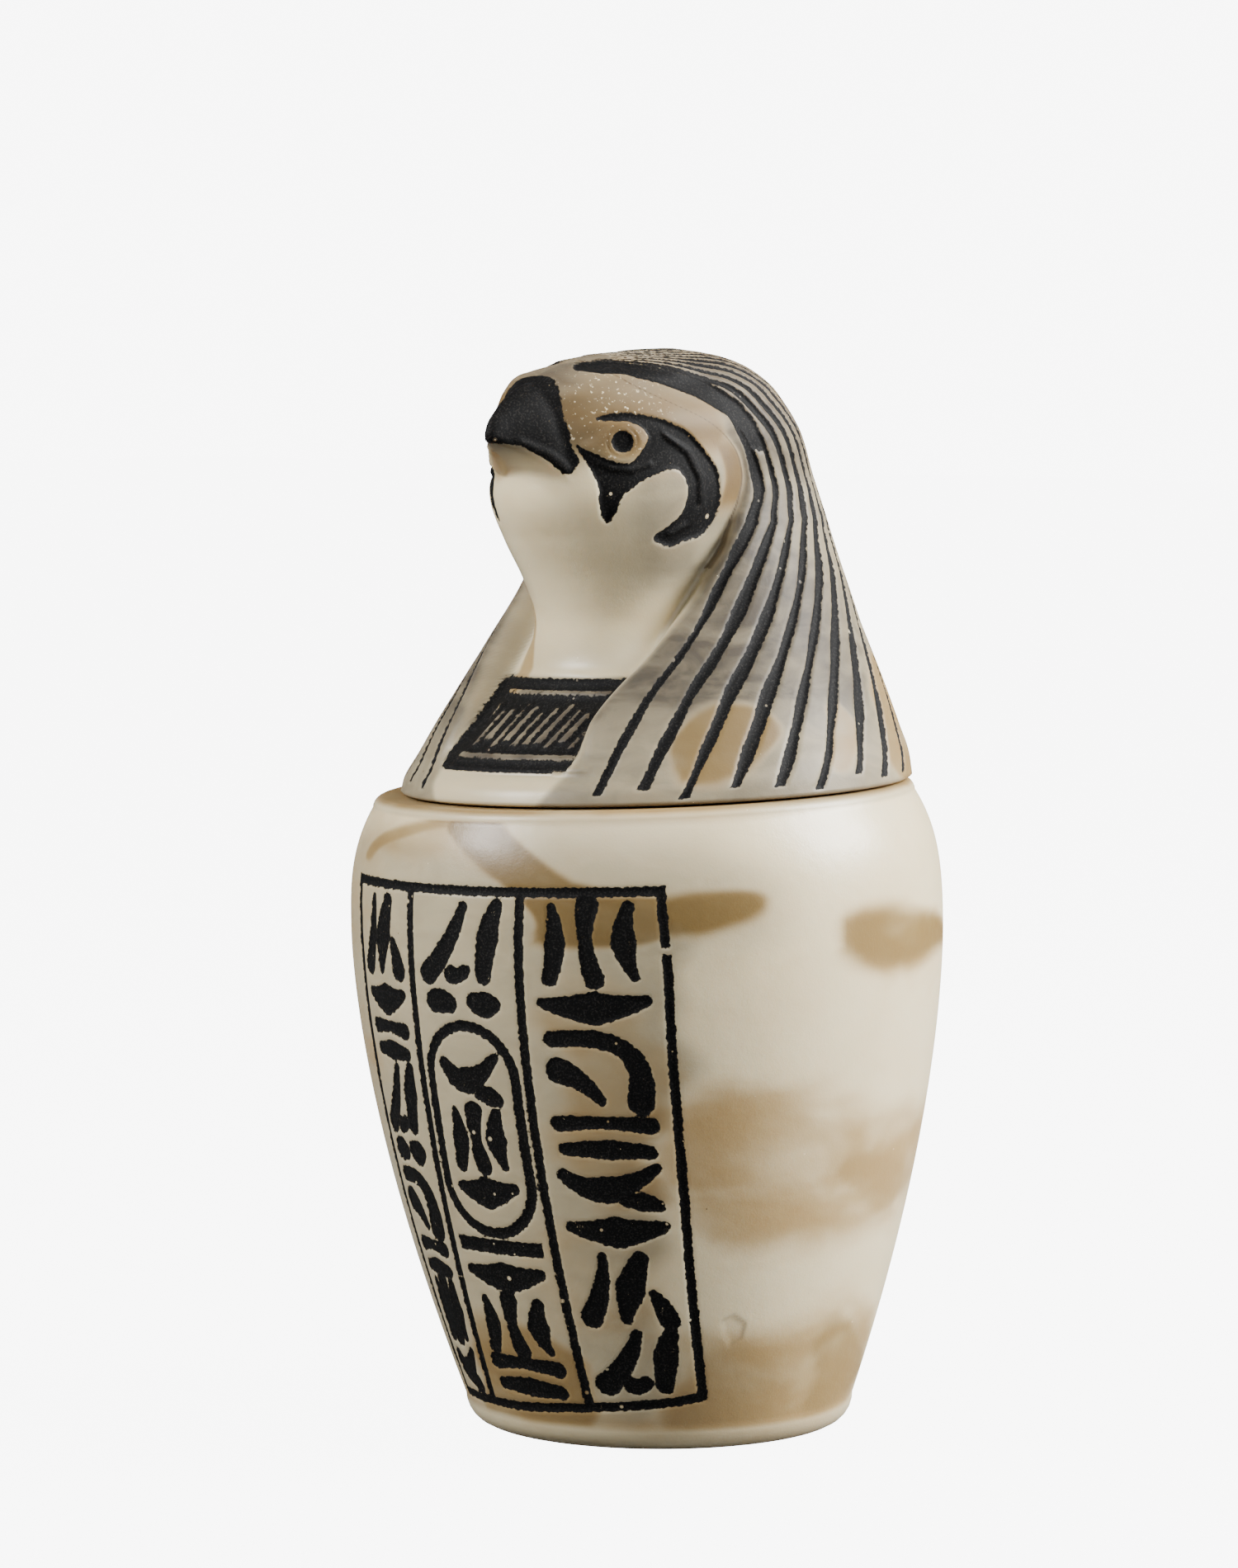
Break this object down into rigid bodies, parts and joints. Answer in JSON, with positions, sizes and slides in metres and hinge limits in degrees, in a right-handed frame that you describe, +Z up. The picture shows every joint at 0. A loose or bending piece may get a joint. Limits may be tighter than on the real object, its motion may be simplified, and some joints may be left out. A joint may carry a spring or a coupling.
{
  "type": "canopic jar",
  "caption": "Small cast stone-look canopic jar, hollow, with a falcon-headed lid that lifts off and a sunk, black-painted panel on its front.",
  "frame": {"origin": "centre of the flat underside", "axes": "+Z up, the falcon and the engraved panel look towards -Y, +X to the falcon's left"},
  "size_m": [0.0754, 0.0754, 0.1366],
  "materials": {
    "filled_resin": "satin, cream and tan swirled to look like alabaster, black paint in the engraving"
  },
  "bodies": {
    "root": {"jar_body": "filled_resin", "falcon_lid": "filled_resin"}
  },
  "joints": []
}
